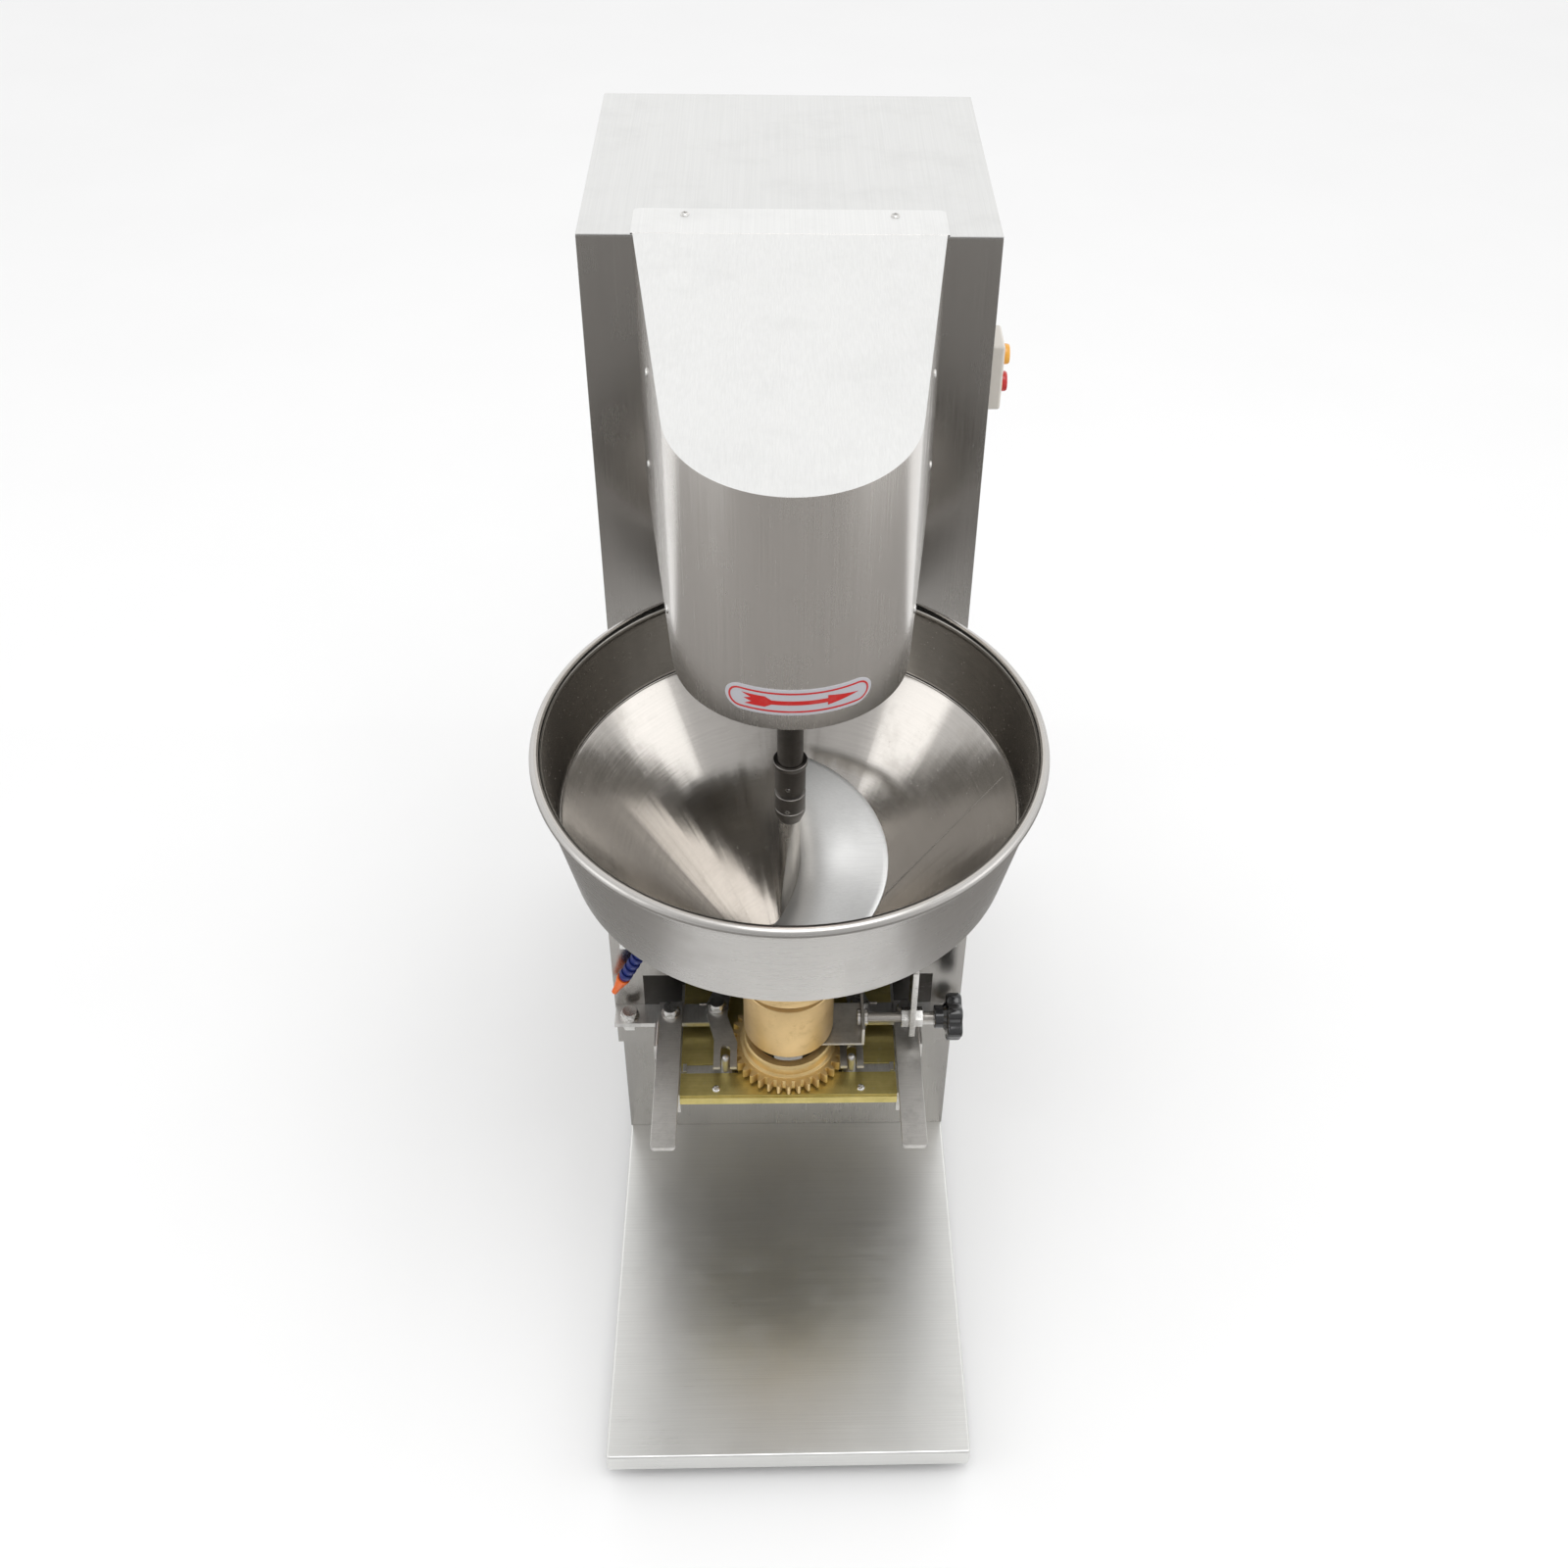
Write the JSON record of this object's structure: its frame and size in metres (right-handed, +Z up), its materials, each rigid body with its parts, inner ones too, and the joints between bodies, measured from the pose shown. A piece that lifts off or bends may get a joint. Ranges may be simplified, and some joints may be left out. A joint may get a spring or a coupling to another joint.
{
  "type": "meatball forming machine",
  "caption": "Upright stainless meatball forming machine: hopper with auger, bronze forming gear and sleeve, sliding knives, size gate and tray arms on a cabinet.",
  "frame": {"origin": "on the floor, at the middle of the machine's footprint", "axes": "+Z up, -Y towards the person using it, +X to that person's right"},
  "size_m": [0.456, 0.8694, 1.1175],
  "materials": {
    "stainless": "brushed stainless sheet",
    "polished": "polished stainless",
    "bronze": "cast tin bronze, turned",
    "brass_plate": "milled brass plate",
    "steel": "machined steel",
    "iron": "painted cast iron",
    "motor_paint": "hammered blue paint",
    "black_plastic": "moulded black plastic",
    "blue_plastic": "blue acetal",
    "orange_plastic": "orange acetal",
    "yellow_plastic": "amber plastic",
    "pale_plastic": "milky plastic",
    "red_plastic": "red plastic",
    "label": "printed film",
    "rubber": "moulded rubber",
    "belt": "rubber belt"
  },
  "bodies": {
    "frame": {"base_pan": "stainless", "rubber_feet": "rubber", "column_shell": "stainless", "column_lid": "stainless", "rear_cover": "stainless", "lower_cabinet": "stainless", "front_housing": "stainless", "head_cover": "stainless", "direction_label": "label", "head_mount_plate": "iron", "bearing_housing": "iron", "head_bearings": "steel", "drive_belt": "belt", "auger_motor": "motor_paint", "hopper": "polished", "hopper_support_plate": "stainless", "hopper_brackets": "stainless", "hopper_neck": "bronze", "forming_sleeve": "bronze", "slide_bed": "brass_plate", "bed_supports": "steel", "gear_seat": "bronze", "shelf_left": "steel", "shelf_right": "steel", "tray_arm_left": "stainless", "tray_arm_right": "stainless", "hex_bolts": "polished", "adjuster_bracket": "steel", "adjuster_nuts": "polished", "gearmotor_stand": "iron", "gear_reducer": "iron", "lower_motor": "motor_paint", "switch_box": "pale_plastic", "cable_gland": "black_plastic", "hose_fitting": "bronze", "panel_screws": "polished"},
    "auger": {"auger_shaft": "polished", "auger_flight": "polished", "auger_coupling": "steel", "head_shaft": "steel", "auger_pulley": "iron"},
    "motor_pulley": {"motor_pulley": "iron", "motor_shaft": "steel"},
    "forming_gear": {"forming_gear": "bronze"},
    "drive": {"drive_axle": "steel", "drive_gear": "steel", "knife_cam": "steel"},
    "fork_left": {"fork_left": "steel"},
    "fork_right": {"fork_right": "steel"},
    "knife_left": {"knife_left": "steel"},
    "knife_right": {"knife_right": "steel"},
    "gate": {"gate_plate": "steel"},
    "size_screw": {"adjusting_screw": "steel", "star_knob": "black_plastic"},
    "start_button": {"start_button": "yellow_plastic"},
    "stop_button": {"stop_button": "red_plastic"},
    "hose": {"hose_segments": "blue_plastic", "hose_nozzle": "orange_plastic"}
  },
  "joints": [
    {"name": "auger_spin", "type": "hinge", "parent": "frame", "child": "auger", "pos_m": [0, -0.13675, 0.6], "axis": [0, 0, 1], "continuous": true},
    {"name": "motor_pulley_spin", "type": "hinge", "parent": "frame", "child": "motor_pulley", "pos_m": [0, 0.24325, 0.96], "axis": [0, 0, 1], "continuous": true},
    {"name": "drive_spin", "type": "hinge", "parent": "frame", "child": "drive", "pos_m": [0, -0.02475, 0.325], "axis": [0, 0, 1], "continuous": true},
    {"name": "forming_gear_spin", "type": "hinge", "parent": "frame", "child": "forming_gear", "pos_m": [0, -0.13675, 0.325], "axis": [0, 0, 1], "continuous": true},
    {"name": "fork_left_swing", "type": "hinge", "parent": "frame", "child": "fork_left", "pos_m": [-0.07496, -0.09975, 0.335], "axis": [0, 0, 1], "range_deg": [-13, 3]},
    {"name": "fork_right_swing", "type": "hinge", "parent": "frame", "child": "fork_right", "pos_m": [0.07496, -0.09975, 0.335], "axis": [0, 0, 1], "range_deg": [-3, 13]},
    {"name": "knife_left_slide", "type": "slide", "parent": "frame", "child": "knife_left", "axis": [1, 0, 0], "range_m": [-0.0145, 0.0034]},
    {"name": "knife_right_slide", "type": "slide", "parent": "frame", "child": "knife_right", "axis": [1, 0, 0], "range_m": [-0.0034, 0.0145]},
    {"name": "size_gate_slide", "type": "slide", "parent": "frame", "child": "gate", "axis": [1, 0, 0], "range_m": [-0.0081, 0.0121]},
    {"name": "size_knob_turn", "type": "hinge", "parent": "gate", "child": "size_screw", "pos_m": [0.15, -0.13675, 0.365], "axis": [1, 0, 0], "range_deg": [-1640, 2460]},
    {"name": "start_button_press", "type": "slide", "parent": "frame", "child": "start_button", "axis": [-1, 0, 0], "range_m": [0, 0.004], "stiffness_N_per_m": 300},
    {"name": "stop_button_press", "type": "slide", "parent": "frame", "child": "stop_button", "axis": [-1, 0, 0], "range_m": [0, 0.004], "stiffness_N_per_m": 300},
    {"name": "hose_swing", "type": "hinge", "parent": "frame", "child": "hose", "pos_m": [-0.148, -0.10475, 0.436], "axis": [0, 1, 0], "range_deg": [-10, 10]}
  ],
  "couplings": [
    {"joint": "motor_pulley_spin", "follows": "auger_spin", "ratio": 1.4054},
    {"joint": "forming_gear_spin", "follows": "drive_spin", "ratio": -0.94444},
    {"joint": "fork_right_swing", "follows": "fork_left_swing", "ratio": -1},
    {"joint": "knife_left_slide", "follows": "fork_left_swing", "m_per_rad": 0.063},
    {"joint": "knife_right_slide", "follows": "fork_left_swing", "m_per_rad": -0.063},
    {"joint": "size_gate_slide", "follows": "size_knob_turn", "m_per_rad": 0.00027852}
  ]
}
